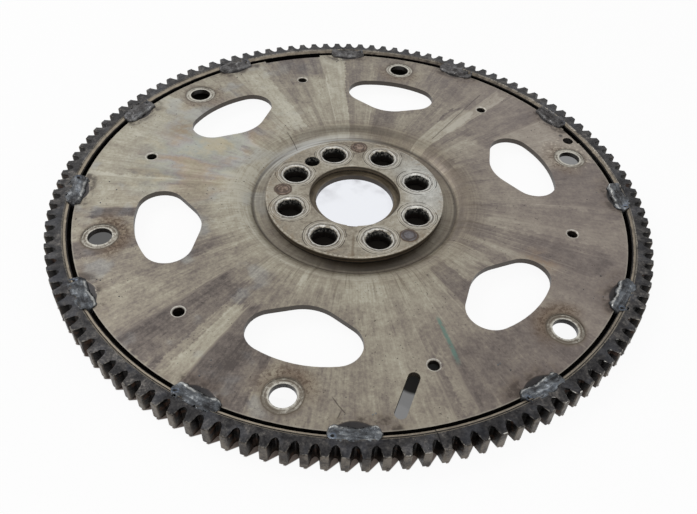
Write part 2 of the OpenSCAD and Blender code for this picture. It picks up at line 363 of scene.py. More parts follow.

# %% [markdown]
# ## The disc's sheet steel
# The sheet was wiped with an oily rag, nearly always along the radius, and then it stained.
# Mauve-grey oxide and pale bare streaks meet in hard, ragged edges, and a few pale strokes on the
# far side are partly a painted sheen of the brushed steel. A picture could hold that, but it
# would not scale, so the finish is painted with sums: noise drawn out along the radius, and a
# list of broad strokes, each a sector between two distances from the axis.

# %% Strokes: angle, half width in degrees, from and to in millimetres, paler or darker
# The pale strokes at 94, 100.5 and 117.5 degrees are partly a painted sheen of the brushed steel.
STROKES = [
    (94, 3.4, 50, 146, 0.29), (100.5, 3.6, 54, 118, 0.16), (117.5, 4.2, 66, 146, 0.2),
    (48, 3.8, 54, 106, 0.29), (44.6, 1.7, 84, 138, 0.26), (31, 9, 60, 87, 0.18),
    (157, 17, 70, 146, 0.22), (127, 5, 60, 84, 0.18), (179, 6, 96, 146, 0.18),
    (317, 7, 55, 79, 0.13), (344, 2, 72, 128, 0.08), (329, 1.8, 60, 112, 0.12),
    (262, 16, 54, 80, 0.11), (215, 4.6, 72, 146, 0.09), (234.6, 1.9, 92, 146, 0.2),
    (200, 5, 62, 86, 0.12), (287, 1.2, 108, 140, 0.16), (84, 3.6, 56, 92, 0.1),
    (172, 14, 54, 70, 0.14), (136, 9, 104, 146, 0.08),
    (106.6, 4.4, 88, 146, -0.11), (66, 12, 84, 146, -0.04), (51, 1.2, 88, 108, -0.34),
    (22, 9, 98, 146, 0.24), (3, 8, 100, 146, -0.11), (351, 3, 60, 140, -0.09),
    (336, 4.4, 58, 132, -0.14), (305, 4, 64, 104, -0.18), (300, 16, 110, 146, -0.16),
    (226.5, 4.4, 84, 146, -0.2), (243, 6, 94, 146, -0.2), (187, 1.6, 111, 134, -0.3),
    (38.5, 2, 57, 92, -0.12), (72, 6, 56, 82, -0.09), (321, 5, 80, 104, -0.12),
    (333, 9, 88, 146, -0.09), (144, 2, 100, 138, -0.1), (171, 1.4, 70, 118, -0.12),
    (197.5, 2.6, 112, 146, -0.24),
]
print("strokes:", len(STROKES))

# %% Sheet steel from noise and strokes
disc_finish, shader, at = begin_finish("wiped_sheet_steel")
sectors = ray_noise(at, 3.0, 0.006)
streaks = ray_noise(at, 16.0, 0.012, 3.0, seed=7.0)
scratches = ray_noise(at, 110.0, 0.03, seed=3.0)
smears = ray_noise(at, 42.0, 0.05, 3.0, seed=5.0)
turned = ray_noise(at, 1.6, 1.1, 3.0, seed=2.0)
cloud = noise(at.mm, 0.035, 3.0)
mottle = noise(at.mm, 0.16, 4.0, 0.65)
grit = noise(at.mm, 0.7, 3.0, 0.65)
ragged_angle = at.degrees + (streaks - 0.5) * 3.5 + (mottle - 0.5) * 2 + (grit - 0.5) * 1.2
ragged_r = at.r + (streaks - 0.5) * 24 + (smears - 0.5) * 16 + (mottle - 0.5) * 8
in_dish = at.r.between(66, 57)
wiped = (streaks - 0.5) * 0.32 + (scratches - 0.5) * 0.3
wiped = wiped + smears.between(0.56, 0.66) * 0.08 - smears.between(0.42, 0.34) * 0.1
smooth_side = (at.degrees + 38).near(0, 62) * at.r.between(70, 95)
wiped = wiped * (1 - in_dish * 0.7) * (1 - smooth_side * 0.6)
tone = 0.52 + (sectors - 0.5) * 0.4 + wiped + (turned - 0.5) * at.r.between(76, 57) * 0.75
tone = tone + (cloud - 0.5) * 0.5 + (mottle - 0.5) * 0.55 + (grit - 0.5) * 0.55
tone = tone + in_dish * ((at.x.between(60, -60) - 0.5) * 0.1 + 0.09)
# Painted light and shade on the dish slope: lighter on the left and the near side, darker on the right.
slope = at.ux.between(-0.3, -0.9) * 0.24 - at.ux.between(0.3, 0.9) * 0.1 + at.uy.between(-0.5, -0.9) * 0.14
slope_foot_light_and_shade = at.ux.between(-0.5, -0.9) * 0.2 - at.ux.between(0.5, 0.9) * 0.26
tone = tone + at.r.between(84, 62) * slope * at.r.between(56, 62) + at.r.near(57.5, 4) * slope_foot_light_and_shade
hairlines = ray_noise(at, 120.0, 0.015, 1.0, seed=17.0).between(0.62, 0.74) * at.x.between(0, 60)
tone = tone + hairlines * cloud.between(0.4, 0.55) * at.r.between(60, 75) * 0.2
for angle, half_width, start, stop, change in STROKES:
    mark = abs((ragged_angle - angle).wrapped()).between(half_width + 0.3, half_width - 0.3)
    mark = mark * ragged_r.between(start - 2, start + 2) * ragged_r.between(stop + 2, stop - 2)
    tone = tone + mark * (change * 1.15)
colour = tone.ramp(
    (0.10, srgb(74, 66, 62)), (0.30, srgb(104, 95, 89)), (0.47, srgb(127, 118, 107)),
    (0.62, srgb(146, 138, 123)), (0.80, srgb(165, 159, 142)), (1.0, srgb(186, 182, 167)))
mauve = (smooth_side * 0.4).larger(at.x.between(20, 110) * 0.6)
colour = mauve.mix(colour, tone.mix(srgb(92, 82, 79), srgb(156, 144, 136)))
cool = noise(at.mm, 0.05, 3.0).between(0.54, 0.66) * at.x.between(0, -70)
cool_steel = (tone + 0.05).ramp((0.2, srgb(104, 104, 106)), (0.8, srgb(166, 168, 166)))
colour = (cool * 0.5).mix(colour, cool_steel)
print("sheet steel painted")

# %% [markdown]
# ## Oil, film and heat on the disc
# The dish holds brown oil, and a thin film of oil shines in faint colours on one side. Its crease
# is a line of painted shade, its foot beside the hub holds old oil with painted shade over it,
# darkest on the near side, its far slope has painted shade and its floor a painted highlight on
# the far left. At each weld the sheet was pressed down and heated: it is brown all round, and the
# hollow is painted black, for soot and for its shade, with a painted highlight on its lip on the
# left. A hollow lies below the flat face, so its mask comes from the height.

# %% Oil, film and heat
DISH_CREASE, DISC_TOP = 54.0, 8.0

wall = at.upright.between(0.55, 0.3)
dish = at.r.between(74, 58) * (0.3 + streaks * 0.8)
colour = (dish * (0.25 + at.ux.between(-0.9, 0.3) * 0.3)).mix(colour, srgb(118, 106, 87))
oil_lines = ray_noise(at, 60.0, 0.05, seed=11.0).between(0.54, 0.7) * at.r.between(84, 60)
near_side = (at.degrees + 80).wrapped().near(0, 90)
colour = (oil_lines * (0.22 + near_side * 0.33)).mix(colour, srgb(84, 70, 52))
# Painted shade along the crease.
colour = (at.r.near(DISH_CREASE, 1.4) * (0.55 + mottle * 0.5).smaller(1)).mix(colour, srgb(54, 46, 38))
far_side = (at.degrees - 85).wrapped().near(0, 60)
# Painted shade on the far side of the dish slope.
colour = (at.r.near(60, 4) * far_side * (0.3 + smears * 0.8)).mix(colour, srgb(84, 77, 68))
# The foot beside the hub: old oil, and painted shade strongest on the near side.
foot = at.r.between(54.5, 52.0)
oil_and_shade = mottle.mix(srgb(28, 23, 17), srgb(62, 53, 40))
colour = (foot * (0.2 + near_side * 0.8).smaller(1)).mix(colour, oil_and_shade)
# sheen is a painted highlight on the dish floor, on the far left.
sheen = at.r.near(53, 6) * (at.degrees - 118).wrapped().near(0, 55) * turned.between(0.3, 0.6)
colour = (sheen * 0.95).mix(colour, srgb(198, 198, 194))
ledge = (turned * 1.6 + mottle - 0.8).mix(srgb(40, 33, 25), srgb(126, 113, 92))
colour = (at.r.between(26, 24) * 0.95).mix(colour, ledge)

film = (ray_noise(at, 5.0, 0.03, 3.0, seed=13.0) + (mottle - 0.5) * 0.25).ramp(
    (0.36, srgb(172, 158, 128)), (0.44, srgb(176, 152, 132)), (0.51, srgb(150, 146, 156)),
    (0.57, srgb(156, 164, 160)), (0.66, srgb(178, 166, 136)))
film_area = (at.degrees - 156).wrapped().near(0, 40) * at.r.between(62, 76) * at.r.between(136, 100)
colour = (film_area * (0.15 + cloud * 0.7)).mix(colour, film)
stain = (at.degrees - 150).wrapped().near(0, 9) * at.r.near(113, 16)
stain = stain + (at.degrees + 30).near(0, 7) * at.r.near(102, 14)
colour = (stain * mottle.between(0.4, 0.6) * 0.6).mix(colour, srgb(132, 106, 80))

_, weld_out, weld_along = from_hole(at, 12, 143, -0.6)
beside_weld = (abs(weld_along) - 7).larger(0)
heat = (weld_out * weld_out + beside_weld * beside_weld).root().between(13, 5)
colour = (heat * (mottle + 0.1).between(0.4, 0.8) * 0.7).mix(colour, srgb(88, 72, 58))
# Soot round the weld, and painted shade down in the hollow.
soot_and_shade = at.z.between(7.999, 7.9).larger(heat.between(0.6, 0.95) * mottle.between(0.42, 0.6) * 0.8)
colour = (soot_and_shade * at.r.between(133, 135) * 0.85).mix(colour, srgb(48, 39, 35))
# The hollow is painted near black: painted shade, with soot.
hollow = (at.z + (mottle - 0.5) * 0.2).between(7.98, 7.75) * at.r.between(134, 136) * (1 - wall)
black = (tone + mottle - 0.5).mix(srgb(16, 15, 17), srgb(48, 45, 46))
colour = (hollow * 0.95).mix(colour, black)
# Painted highlight on the lip of the hollow, on the left side only.
lip = (at.z + (grit - 0.5) * 0.1).near(7.88, 0.1) * at.r.between(134, 136) * mottle.between(0.5, 0.6)
colour = (lip * at.ux.between(0, -0.6) * 0.6).mix(colour, srgb(176, 168, 154))
print("disc marks: dish oil, film, stains, heat tint, hollows")

# %% [markdown]
# ## Wear at the holes
# The converter bolt holes lie in line with the windows. Round each the washer polished a seat,
# with rust on its hub side. Each is a mask from the distance to the nearest hole. Walls of holes
# and the rim's edge are painted dark, as painted shade. A few scratches run from one place to
# another.

# %% Seats, rust and walls
CONVERTER = mounts["converter_bolts"]
SMALL_HOLE_R = 114.8
NICK_R, NICK_ANGLE = 137.1, radians(23.2)
CRAYON_ANGLE = -69.2
# Rusty places: x, y, where rust ends and where it is full, and how much there is
RUSTY_PLACES = [(-125.6, -32.2, 26, 14, 1.0), (86, -78, 24, 12, 0.8), (-24, -108, 18, 8, 0.7)]
# Scratches: from x, y to x, y
SCRATCHES = [(-15.5, -125.6, -9.4, -135), (-11.3, -132, -13.5, -137.2),
             (-37.8, 55.7, -30.7, 42.3), (46.7, 48.4, 85.1, 98)]

to_bolt, bolt_out, _ = from_hole(at, CONVERTER["count"], CONVERTER["pcd_mm"] / 2, FIRST_WINDOW)
to_small, _, _ = from_hole(at, 6, SMALL_HOLE_R, FIRST_WINDOW + 30)
wander = to_bolt + (mottle - 0.5) * 2
rust_area = wander.between(19, 10) * (bolt_out + 1).between(6, -5)
rusty = [away_from(at, x, y).between(end, full) * level for x, y, end, full, level in RUSTY_PLACES]
rusty_hole = rusty[0].larger(rusty[1]).larger(rusty[2])
rust = rust_area * (noise(at.mm, 0.5, 4.0, 0.75) + rusty_hole * 0.05).between(0.5, 0.6)
colour = (rust_area * (0.35 + rusty_hole * 0.4)).mix(colour, srgb(116, 97, 76))
colour = (rust * (0.7 + rusty_hole * 0.25)).mix(colour, srgb(80, 62, 48))
colour = (wander.between(11.2, 9.2) * 0.45).mix(colour, srgb(96, 84, 70))
pale_specks = noise(at.mm, 0.55, 3.0).between(0.56, 0.64) * away_from(at, 125, 37).between(19, 11)
colour = (pale_specks * 0.75).mix(colour, srgb(184, 174, 158))
seat = to_bolt.between(8.9, 8.4)
crust = (noise(at.mm, 0.12, 3.0) + (grit - 0.5) * 0.9 + at.y * 0.001).between(0.3, 0.7)
colour = (seat * 0.85).mix(colour, crust.mix(srgb(116, 108, 96), srgb(194, 190, 178)))
seat_lines = wander.near(8.9, 0.6) + to_bolt.near(7.3, 0.5) * mottle.between(0.42, 0.55)
seat_lines = (seat_lines * (0.35 + mottle + rusty_hole * 0.4)).smaller(1)
colour = (seat_lines * 0.9).mix(colour, srgb(80, 69, 56))
bright_lip = (to_bolt.near(6.2, 0.6) + to_small.near(3.1, 0.5)) * grit.between(0.25, 0.55)
colour = (bright_lip * 0.9).mix(colour, srgb(206, 203, 193))

for x1, y1, x2, y2 in SCRATCHES:
    run = Vector((x2 - x1, y2 - y1))
    ahead = run.normalized()
    along = (at.x - x1) * ahead.x + (at.y - y1) * ahead.y
    beside = (at.y - y1) * ahead.x - (at.x - x1) * ahead.y + (mottle - 0.5) * 1.2
    ends = along.between(0, 2) * along.between(run.length, run.length - 2)
    scratch = abs(beside).between(0.4, 0.1) * ends
    colour = (scratch * 0.75).mix(colour, srgb(62, 53, 46))
specks = noise(at.mm, 0.8, 1.0).between(0.71, 0.75) * cloud.between(0.45, 0.58)
colour = (specks * 0.8).mix(colour, srgb(52, 43, 38))
crayon_turn = abs(at.degrees - CRAYON_ANGLE + (at.r - 100) * 0.07 + (grit - 0.5) * 0.5)
crayon = crayon_turn.between(0.8, 0.2) * grit.between(0.25, 0.5)
crayon = crayon * at.r.between(90, 94) * at.r.between(120, 112)
colour = (crayon * 0.75).mix(colour, srgb(84, 122, 112))
nick = away_from(at, NICK_R * cos(NICK_ANGLE), NICK_R * sin(NICK_ANGLE)).between(1.6, 0.8)
colour = (nick * 0.8).mix(colour, srgb(34, 30, 28))
colour = (at.r.near(142.5, 0.5) * 0.5).mix(colour, srgb(160, 154, 142))
# Painted shade: every wall of the sheet darker, the walls of the bolt holes darker still, and the rim's
# edge near black.
colour = (wall * 0.92).mix(colour, srgb(58, 50, 43))
in_hole = to_small.smaller(to_bolt).between(6.4, 6.0).larger(at.r.between(134, 135))
bolt_wall = wall * in_hole.larger(at.r.between(45, 44) * at.r.between(27, 28))
colour = (bolt_wall * 0.85).mix(colour, srgb(26, 23, 21))
colour = (wall * at.r.between(142, 142.6)).mix(colour, srgb(14, 12, 11))

rough = 0.4 + (streaks - 0.5) * 0.3 + (scratches - 0.5) * 0.2 + hollow * 0.1 + rust * 0.3 - seat * 0.06
height = scratches * 0.4 + grit * 0.3 + mottle * 0.3 + rust * 0.9
metal = 0.4 - rust * 0.3 - wall * 0.2
set_shader(shader, {"Base Color": colour, "Roughness": rough, "Metallic": metal}, height, depth=0.07)
dress("flex_disc", disc_finish)

# %% [markdown]
# ## The hub plate
# Eight bolts clamp this thick ring to the crankshaft. Their turning heads cut fine circles round
# every hole and polished the countersinks. Old oil and painted shade turn the walls brown to
# black, dark lines of painted shade run low on the outer wall and in the bore, and a light line
# of painted highlight runs along the top edge. The marks are rings of the distance to the nearest
# bolt hole, broken up by noise.

# %% Hub finish
CRANK = mounts["crank_bolts"]
CRANK_ANGLE = 16.7
# Rivets: distance from the axis, and angle
RIVETS = [(41.4, 84.2), (38.3, 174.2), (40.8, 309.2)]
HUB_FOOT = 3.6


def from_rivet(at):
    """Distance to the nearest rivet."""
    away = [away_from(at, r * cos(radians(angle)), r * sin(radians(angle))) for r, angle in RIVETS]
    return away[0].smaller(away[1]).smaller(away[2])


hub_finish, shader, at = begin_finish("ground_hub_steel")
cloud = noise(at.mm, 0.06, 3.0)
mottle = noise(at.mm, 0.3, 4.0, 0.65)
grit = noise(at.mm, 0.9, 3.0, 0.65)
to_bolt, _, _ = from_hole(at, CRANK["count"], CRANK["pcd_mm"] / 2, CRANK_ANGLE)
wander = to_bolt + (cloud - 0.5) * 2.6 + (mottle - 0.5) * 0.7
rings = (wander * 6.2).math("SINE") * 0.5 + 0.5
head_zone = to_bolt.between(11.6, 10.4) * to_bolt.between(7.2, 7.8)
tone = 0.51 + (cloud - 0.5) * 0.8 + (mottle - 0.5) * 0.9 + (grit - 0.5) * 0.8
tone = tone + head_zone * (rings - 0.4) * 0.6
colour = tone.ramp((0.15, srgb(104, 94, 80)), (0.4, srgb(136, 128, 114)), (0.58, srgb(154, 147, 132)),
                   (0.85, srgb(178, 173, 160)))
cool = (at.degrees - 12).wrapped().near(0, 56) * at.r.between(24, 34)
pale_steel = tone.ramp((0.2, srgb(152, 154, 151)), (0.8, srgb(212, 213, 209)))
colour = (cool * (0.45 + mottle * 0.7)).mix(colour, pale_steel)
scored = wander.near(10.8, 0.5) * noise(at.mm, 0.14).between(0.42, 0.52)
scored = scored + wander.near(8.7, 0.4) * noise(at.mm, 0.2).between(0.45, 0.55)
colour = (scored * 0.9).mix(colour, srgb(58, 50, 42))
lip = to_bolt + (mottle - 0.5) * 1.8 + (grit - 0.5) * 1.1
pale_ring = wander.near(9.2, 0.9) * (0.3 + mottle)
colour = (pale_ring * 0.6).mix(colour, srgb(194, 190, 181))
colour = (lip.near(8.1, 0.5) * grit.between(0.3, 0.5) * 0.95).mix(colour, srgb(50, 43, 37))
polished = lip.near(7.4, 0.75) * noise(at.mm, 0.2, 3.0).between(0.3, 0.5)
colour = polished.mix(colour, grit.mix(srgb(164, 161, 153), srgb(242, 241, 236)))
colour = lip.between(6.75, 6.5).mix(colour, srgb(34, 30, 27))
rivet_rust = (from_rivet(at) + (mottle - 0.5) * 2).between(5.3, 4.5)
colour = (rivet_rust * 0.9).mix(colour, grit.mix(srgb(44, 33, 27), srgb(96, 75, 60)))
brown = mottle.between(0.45, 0.62) * at.r.between(40, 46)
colour = (brown * 0.55).mix(colour, srgb(116, 98, 74))
brown_line = abs(at.degrees + 94 + (cloud - 0.5) * 5).between(1.6, 0.4) * at.r.between(28, 33)
colour = (brown_line * 0.5).mix(colour, srgb(92, 74, 54))
# A painted highlight along the hub's top edge.
colour = (at.r.near(46.8, 0.7) * grit.between(0.35, 0.6) * 0.6).mix(colour, srgb(196, 190, 176))
print("hub marks: head circles, scores, polished lips, brown edge")

# %% Hub walls and shader
wall = at.upright.between(0.6, 0.35)
outer_wall, bore_wall = wall * at.r.between(45, 46.5), wall * at.r.between(26.6, 25.6)
hole_wall = (wall - outer_wall - bore_wall).larger(0)
grime = noise(at.mm, 0.5, 4.0, 0.7)
# Painted shade: dark lines low on the outer wall, where the plate meets the disc.
seam = (at.z + (grime - 0.5) * 0.5).between(HUB_FOOT + 1.3, HUB_FOOT + 0.7)
seam = seam.larger((at.z + (grime - 0.5) * 0.4).near(HUB_FOOT + 2.3, 0.45))
# The outer wall: old oil and painted shade.
outer_oil_and_shade = grime.mix(srgb(36, 29, 22), srgb(96, 82, 62))
colour = outer_wall.mix(colour, seam.mix(outer_oil_and_shade, srgb(9, 8, 7)))
# Painted shade: dark lines in the bore, in the gaps between the plates.
bore_shade_lines = (at.z + (grime - 0.5) * 0.3).near(HUB_FOOT + 0.8, 0.6).larger(at.z.near(HUB_FOOT + 2.7, 0.35))
bore_oil = grime.mix(srgb(50, 42, 33), srgb(116, 103, 84))
colour = bore_wall.mix(colour, bore_shade_lines.mix(bore_oil, srgb(16, 13, 10)))
thread = noise(at.mm, 0.8, 3.0, 0.75).between(0.45, 0.62) * at.z.between(HUB_FOOT - 0.5, HUB_FOOT + 2)
colour = hole_wall.mix(colour, thread.mix(srgb(9, 8, 8), srgb(150, 147, 140)))
rough = 0.4 + (grit - 0.5) * 0.35 - polished * 0.12 + wall * 0.15
metal = 0.5 - wall * 0.35
height = grit * 0.4 + mottle * 0.5 + head_zone * rings * 0.4 - scored * 0.5
set_shader(shader, {"Base Color": colour, "Roughness": rough, "Metallic": metal}, height, depth=0.08)
dress("hub_plate", hub_finish)

# %% [markdown]
# ## Rivets
# Three flush rivets hold the hub plate to the disc. Their heads rusted brown and are darker in a
# ring at the edge. The CAD solids have the right shape, so they only need a finish.

# %% Rivet finish
rivet_finish, shader, at = begin_finish("rusty_rivet")
away = from_rivet(at)
patch = noise(at.mm, 0.45, 3.0, 0.6)
rusty = patch.between(0.4, 0.6).mix(srgb(84, 68, 57), srgb(146, 128, 114))
steel = patch.between(0.35, 0.65).mix(srgb(84, 80, 82), srgb(112, 109, 112))
colour = at.y.between(0, -10).mix(rusty, steel)
ring = (away + (patch - 0.5) * 1.4).near(3.1, 0.9)
colour = (ring * 0.9).mix(colour, srgb(58, 44, 36))
set_shader(shader, {"Base Color": colour, "Roughness": 0.5 + patch * 0.2, "Metallic": 0.3 - ring * 0.2},
           patch + away * 0.2, depth=0.25)
dress("hub_rivets", rivet_finish)

# %% [markdown]
# ## Growing shapes with geometry nodes
# The ring gear is one tooth space repeated all round, and the welds and their spatter repeat
# too. A geometry tree copies a blank mesh to each place. The tree's inputs are set on a modifier
# by their identifiers, and the finished shape is kept as a plain mesh.

# %% Tree helpers


def new_tree(name, inputs):
    """An empty geometry tree with named inputs; gives the tree and a wire for each input."""
    tree = bpy.data.node_groups.new(name, "GeometryNodeTree")
    tree.interface.new_socket("Geometry", in_out="INPUT", socket_type="NodeSocketGeometry")
    for label, kind in inputs.items():
        tree.interface.new_socket(label, in_out="INPUT", socket_type="NodeSocket" + kind)
    tree.interface.new_socket("Geometry", in_out="OUTPUT", socket_type="NodeSocketGeometry")
    entry = tree.nodes.new("NodeGroupInput")
    return tree, {socket.name: Wire(tree, socket) for socket in entry.outputs if socket.name}


def copies_at(points, blank, **how):
    """A copy of the blank at each point, turned or scaled, and then made real."""
    copies = points.node("GeometryNodeInstanceOnPoints", None, {"Points": points, "Instance": blank, **how})
    return copies.node("GeometryNodeRealizeInstances", None, {0: copies})


def move(shape, **how):
    """Moves the points of a shape, by an Offset or to a Position."""
    return shape.node("GeometryNodeSetPosition", None, {"Geometry": shape, **how})


def end_tree(tree, shape, finish):
    """Set Material, then out."""
    shape = shape.node("GeometryNodeSetMaterial", None, {"Geometry": shape, "Material": finish})
    tree.links.new(shape.socket, tree.nodes.new("NodeGroupOutput").inputs[0])


def grow(name, blank, tree, values):
    """Runs a tree on a blank mesh and keeps the result as a plain mesh."""
    piece = bpy.data.objects.new(name, blank)
    bpy.context.collection.objects.link(piece)
    modifier = piece.modifiers.new("grow", "NODES")
    modifier.node_group = tree
    for item in tree.interface.items_tree:
        if item.in_out == "INPUT" and item.name in values:
            modifier[item.identifier] = values[item.name]
    bpy.context.view_layer.update()
    shape = bpy.data.meshes.new_from_object(piece.evaluated_get(bpy.context.evaluated_depsgraph_get()))
    piece.modifiers.remove(modifier)
    piece.data = shape
    print(name, "has", len(shape.polygons), "faces")
    return piece


def named_value(wire, name):
    """A number that the mesh carries at each point."""
    return wire.node("GeometryNodeInputNamedAttribute", {"data_type": "FLOAT"}, {"Name": name})


def vector(wire, x=0.0, y=0.0, z=0.0):
    """Three numbers as one vector."""
    return wire.node("ShaderNodeCombineXYZ", None, {0: x, 1: y, 2: z})


def shake(spot, scale, amount):
    """A small sideways move in any direction, from noise at the point."""
    push = spot.node("ShaderNodeTexNoise", None, {"Vector": spot, "Scale": scale, "Detail": 2.0}, out=1)
    push = push.node("ShaderNodeVectorMath", {"operation": "SUBTRACT"}, {0: push, 1: (0.5, 0.5, 0.5)})
    return push.node("ShaderNodeVectorMath", {"operation": "SCALE"}, {0: push, "Scale": amount})


# %% [markdown]
# ## Ring gear finish
# The gear was hardened, so it is nearly black, with an oily skin. The starter pinion rubbed the
# tips and edges grey. The flanks and roots are painted dark, for grease and for the shade
# between the teeth; the lower flanks and the tips are painted lighter, as if lit from the white
# table; a few edges carry painted glints, and the inner wall below the shoulder is painted shade.
# Every bevel face of the gear has the attribute edge_wear, which the finish reads to brighten
# edges.

# %% Gear finish
SEAM_ANGLE = -80.0

gear_finish, shader, at = begin_finish("oily_gear_steel")
worn = at.r.node("ShaderNodeAttribute", {"attribute_name": "edge_wear"}, out="Fac")
cloud = noise(at.mm, 0.05, 3.0)
mottle = noise(at.mm, 0.26, 4.0, 0.7)
grit = noise(at.mm, 1.0, 3.0, 0.7)
tone = 0.58 + (cloud - 0.5) * 0.9 + (mottle - 0.5) * 1.5 + (grit - 0.5) * 0.8
colour = tone.ramp((0.2, srgb(24, 23, 24)), (0.46, srgb(45, 44, 45)), (0.68, srgb(66, 64, 63)),
                   (0.9, srgb(104, 100, 96)))
blue_skin = tone.mix(srgb(36, 38, 44), srgb(86, 88, 94))
colour = (noise(at.mm, 0.09, 3.0).between(0.5, 0.64) * 0.4).mix(colour, blue_skin)
wall = at.upright.between(0.6, 0.35)
# Painted shade: the flanks darker and the roots near black, for grease and for the shade between the teeth,
# a little less on the left.
flank = wall * at.r.between(147.6, 148.4)
colour = (flank * (0.6 + mottle * 0.5)).mix(colour, srgb(30, 27, 24))
grease_and_shade = flank * at.r.between(154.6, 151.6) * (1 - at.ux.between(-0.5, -0.9) * 0.5)
colour = (grease_and_shade * 0.9).mix(colour, srgb(8, 7, 7))
# Painted light: the lower part of each flank is lighter, as if lit from the white table.
colour = (flank * (at.z + (mottle - 0.5) * 4).between(4.5, 1.5) * 0.5).mix(colour, srgb(74, 65, 58))
rust = flank * noise(at.mm, 0.22, 3.0, 0.6).between(0.54, 0.68)
colour = (rust * 0.5).mix(colour, srgb(86, 62, 48))
# Tips: rubbed steel, and lighter than the top as a painted reflection of the white table.
tip = wall * at.r.between(154.0, 154.7)
rubbed = (noise(at.mm, 0.12, 3.0) + (grit - 0.5) * 0.6).between(0.36, 0.66)
colour = (tip * 0.9).mix(colour, rubbed.mix(srgb(52, 47, 44), srgb(116, 108, 98)))
# The shoulder's top: a rubbed line of bare steel with painted light, lighter on the left and near side, its
# place and width changing by side.
shoulder = at.r.between(146.6, 146.4) * (1 - wall)
bare_and_lit = 0.2 + at.ux.between(0.2, -0.8) * 0.6 + at.uy.between(-0.4, -0.9) * 0.4 + at.ux.between(0.6, 1) * 0.3
bare_and_lit = (bare_and_lit + (mottle - 0.5) * 1.2).larger(0).smaller(1)
line_r = 145.35 + abs(at.ux) * 0.5 + at.uy * 0.25
line_half = 0.75 - abs(at.ux) * 0.2 + at.uy * 0.2
rubbed_line = (abs(at.r - line_r + (mottle - 0.5) * 0.5) - line_half).between(0.12, -0.15)
bare_steel_and_light = bare_and_lit.mix(srgb(64, 58, 52), srgb(168, 157, 140))
colour = shoulder.mix(colour, rubbed_line.mix(srgb(26, 23, 21), bare_steel_and_light))
# Painted shade: the inner wall below the shoulder is near black.
colour = (wall * at.r.between(146, 145)).mix(colour, srgb(12, 11, 10))
worn_here = worn * at.r.between(150.5, 153.5).larger(at.r.between(147.6, 147.2)) * rubbed
colour = (worn_here * grit.between(0.35, 0.62) * 0.7).mix(colour, srgb(150, 145, 136))
# Painted glints on edges of the teeth at the lower right.
sparkle = worn * noise(at.mm, 0.3).between(0.56, 0.62) * (at.degrees + 55).near(0, 45)
colour = (sparkle * at.r.between(149, 150) * 0.9).mix(colour, srgb(222, 219, 212))
# The inner bevel's edge is lighter on the near side: wear with a painted highlight.
bore_edge = worn * at.r.between(147.6, 147.2) * mottle.between(0.3, 0.5)
bore_edge = bore_edge * (0.25 + at.uy.between(-0.3, -0.9) * 0.5)
colour = bore_edge.mix(colour, srgb(158, 148, 132))
flecks = noise(at.mm, 1.3).between(0.70, 0.75) * cloud.between(0.45, 0.6)
colour = (flecks * 0.7).mix(colour, srgb(168, 164, 158))
seam = abs(at.degrees - SEAM_ANGLE).between(0.14, 0.06)
colour = (seam * 0.8).mix(colour, srgb(18, 17, 17))
rough = 0.4 + (grit - 0.5) * 0.4 + rust * 0.2 - worn_here * 0.1
metal = 0.55 - rust * 0.3 + grease_and_shade * 0.4
set_shader(shader, {"Base Color": colour, "Roughness": rough, "Metallic": metal, "Specular IOR Level": 0.2},
           grit * 0.6 + mottle * 0.8, depth=0.25)
print("gear finish:", len(gear_finish.node_tree.nodes), "nodes")

# %% [markdown]
# ## Ring gear
# On the real part the teeth are cut into a plain ring. Here one tooth space is drawn as an
# outline, given bevels at both faces, and turned round the axis once for every tooth. The
# copies meet in the middle of the teeth, where Merge by Distance joins them.

# %% Outline of one tooth space
RING_WALL, RING_BEVEL = 2.9, 0.6
EDGE_BEVEL, TOP_BEVEL = 0.35, 0.8
SHOULDER_WIDTH, SHOULDER_FALL = 1.8, 0.9
FLANK_SLOPE, SPACE_SHARE = 13.0, 0.46
CHIP_ROOM = 0.04
_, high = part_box("ring_gear")
RING_TOP = high.z / MM
TIP_R = cad_box[1][0] / MM - CHIP_ROOM
MODULE = 2 * TIP_R / (TEETH + 2)
PITCH_R = TIP_R - MODULE
ROOT_R = PITCH_R - 1.25 * MODULE
INNER_R = ROOT_R - RING_WALL
BORE_R = INNER_R - SHOULDER_WIDTH
PITCH = 2 * pi / TEETH


def space_outline():
    """Half of a tooth space as (radius, angle), from the root's middle to the next tooth's middle."""
    middle = PITCH_R * sin(PITCH * SPACE_SHARE / 2)
    slope = tan(radians(FLANK_SLOPE) + PITCH / 2)

    def flank(r):
        return middle + (r - PITCH_R) * slope

    root = flank(ROOT_R)
    points = [(ROOT_R + 0.3, 0.0), (ROOT_R + 0.42, root * 0.45), (ROOT_R + 0.85, root * 0.85),
              (ROOT_R + 1.6, flank(ROOT_R + 1.6)), (PITCH_R, flank(PITCH_R)),
              (TIP_R - 0.55, flank(TIP_R - 0.55)), (TIP_R - 0.12, flank(TIP_R - 0.3))]
    polar = [(hypot(x, y), atan2(y, x)) for x, y in points]
    return polar + [(TIP_R, polar[-1][1] + (PITCH / 2 - polar[-1][1]) * 0.35), (TIP_R, PITCH / 2)]


half_outline = space_outline()
outline = [(r, -a) for r, a in reversed(half_outline[1:])] + half_outline
print("tooth space outline:", len(outline), "points")

# %% One tooth space of the ring


def shrunk(points, inset):
    """The outline moved into the metal by a bevel, wide at the tip and thin at the root."""
    flat = [Vector((r * cos(a), r * sin(a))) for r, a in points]
    moved = []
    for i, p in enumerate(flat):
        before, after = flat[max(i - 1, 0)], flat[min(i + 1, len(flat) - 1)]
        run = (after - before).normalized()
        inward = Vector((-run.y, run.x))
        if inward.dot(p) > 0:
            inward = -inward
        fade = min(max((points[i][0] - ROOT_R) / 2.5, 0.2), 2.0)
        q = p + inward * inset * fade
        angle = points[i][1] if i in (0, len(flat) - 1) else atan2(q.y, q.x)
        moved.append((q.length, angle))
    return moved


